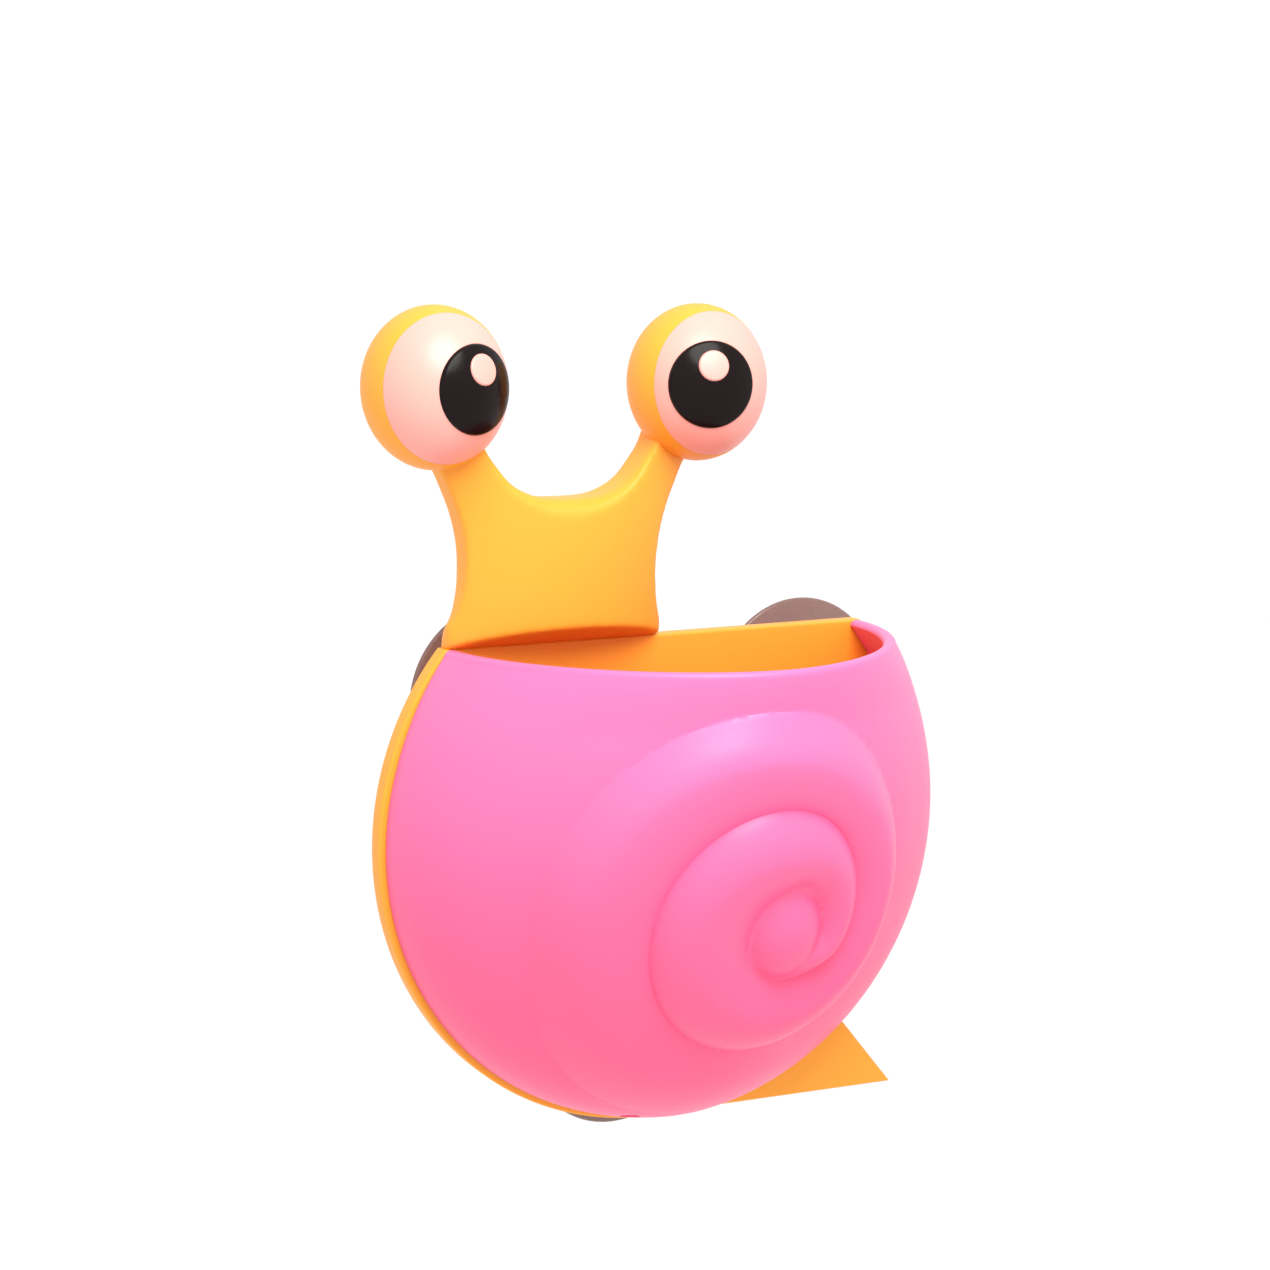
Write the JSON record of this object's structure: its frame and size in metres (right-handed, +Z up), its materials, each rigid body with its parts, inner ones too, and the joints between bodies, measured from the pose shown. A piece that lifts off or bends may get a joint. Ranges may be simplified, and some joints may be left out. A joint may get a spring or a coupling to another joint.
{
  "type": "wall-hung toothbrush holder",
  "caption": "Snail-shaped toothbrush holder: a round open-topped cup on a back plate with neck, eyes and tail, hung on a wall by suckers that it lifts off.",
  "frame": {"origin": "on the wall's plane, level with the cup's rim, behind the middle of the round cup", "axes": "+Z up, +Y into the wall, the front looks along -Y, +X to the right as seen from the front"},
  "size_m": [0.1247, 0.0663, 0.1706],
  "materials": {
    "yellow_moulding": "smooth satin-gloss moulded plastic",
    "pink_moulding": "smooth satin-gloss moulded plastic",
    "ivory_cap": "smooth gloss moulded plastic",
    "ivory_glint": "smooth gloss moulded plastic",
    "black_gloss": "high gloss",
    "soft_sucker": "smoky soft clear plastic, smooth",
    "screw_steel": "zinc plated"
  },
  "bodies": {
    "suckers": {"sucker_upper_left": "soft_sucker", "sucker_upper_right": "soft_sucker", "sucker_bottom": "soft_sucker"},
    "holder": {"back_body": "yellow_moulding", "shell_cup": "pink_moulding", "eye_white_left": "ivory_cap", "eye_white_right": "ivory_cap", "pupil_left": "black_gloss", "pupil_right": "black_gloss", "eye_glint_left": "ivory_glint", "eye_glint_right": "ivory_glint", "screw_upper_left": "screw_steel", "screw_upper_right": "screw_steel", "screw_lower_left": "screw_steel", "screw_lower_right": "screw_steel"}
  },
  "joints": [
    {"name": "lift_off", "type": "slide", "parent": "suckers", "child": "holder", "axis": [0, 0, 1], "range_m": [0, 0.014]}
  ]
}
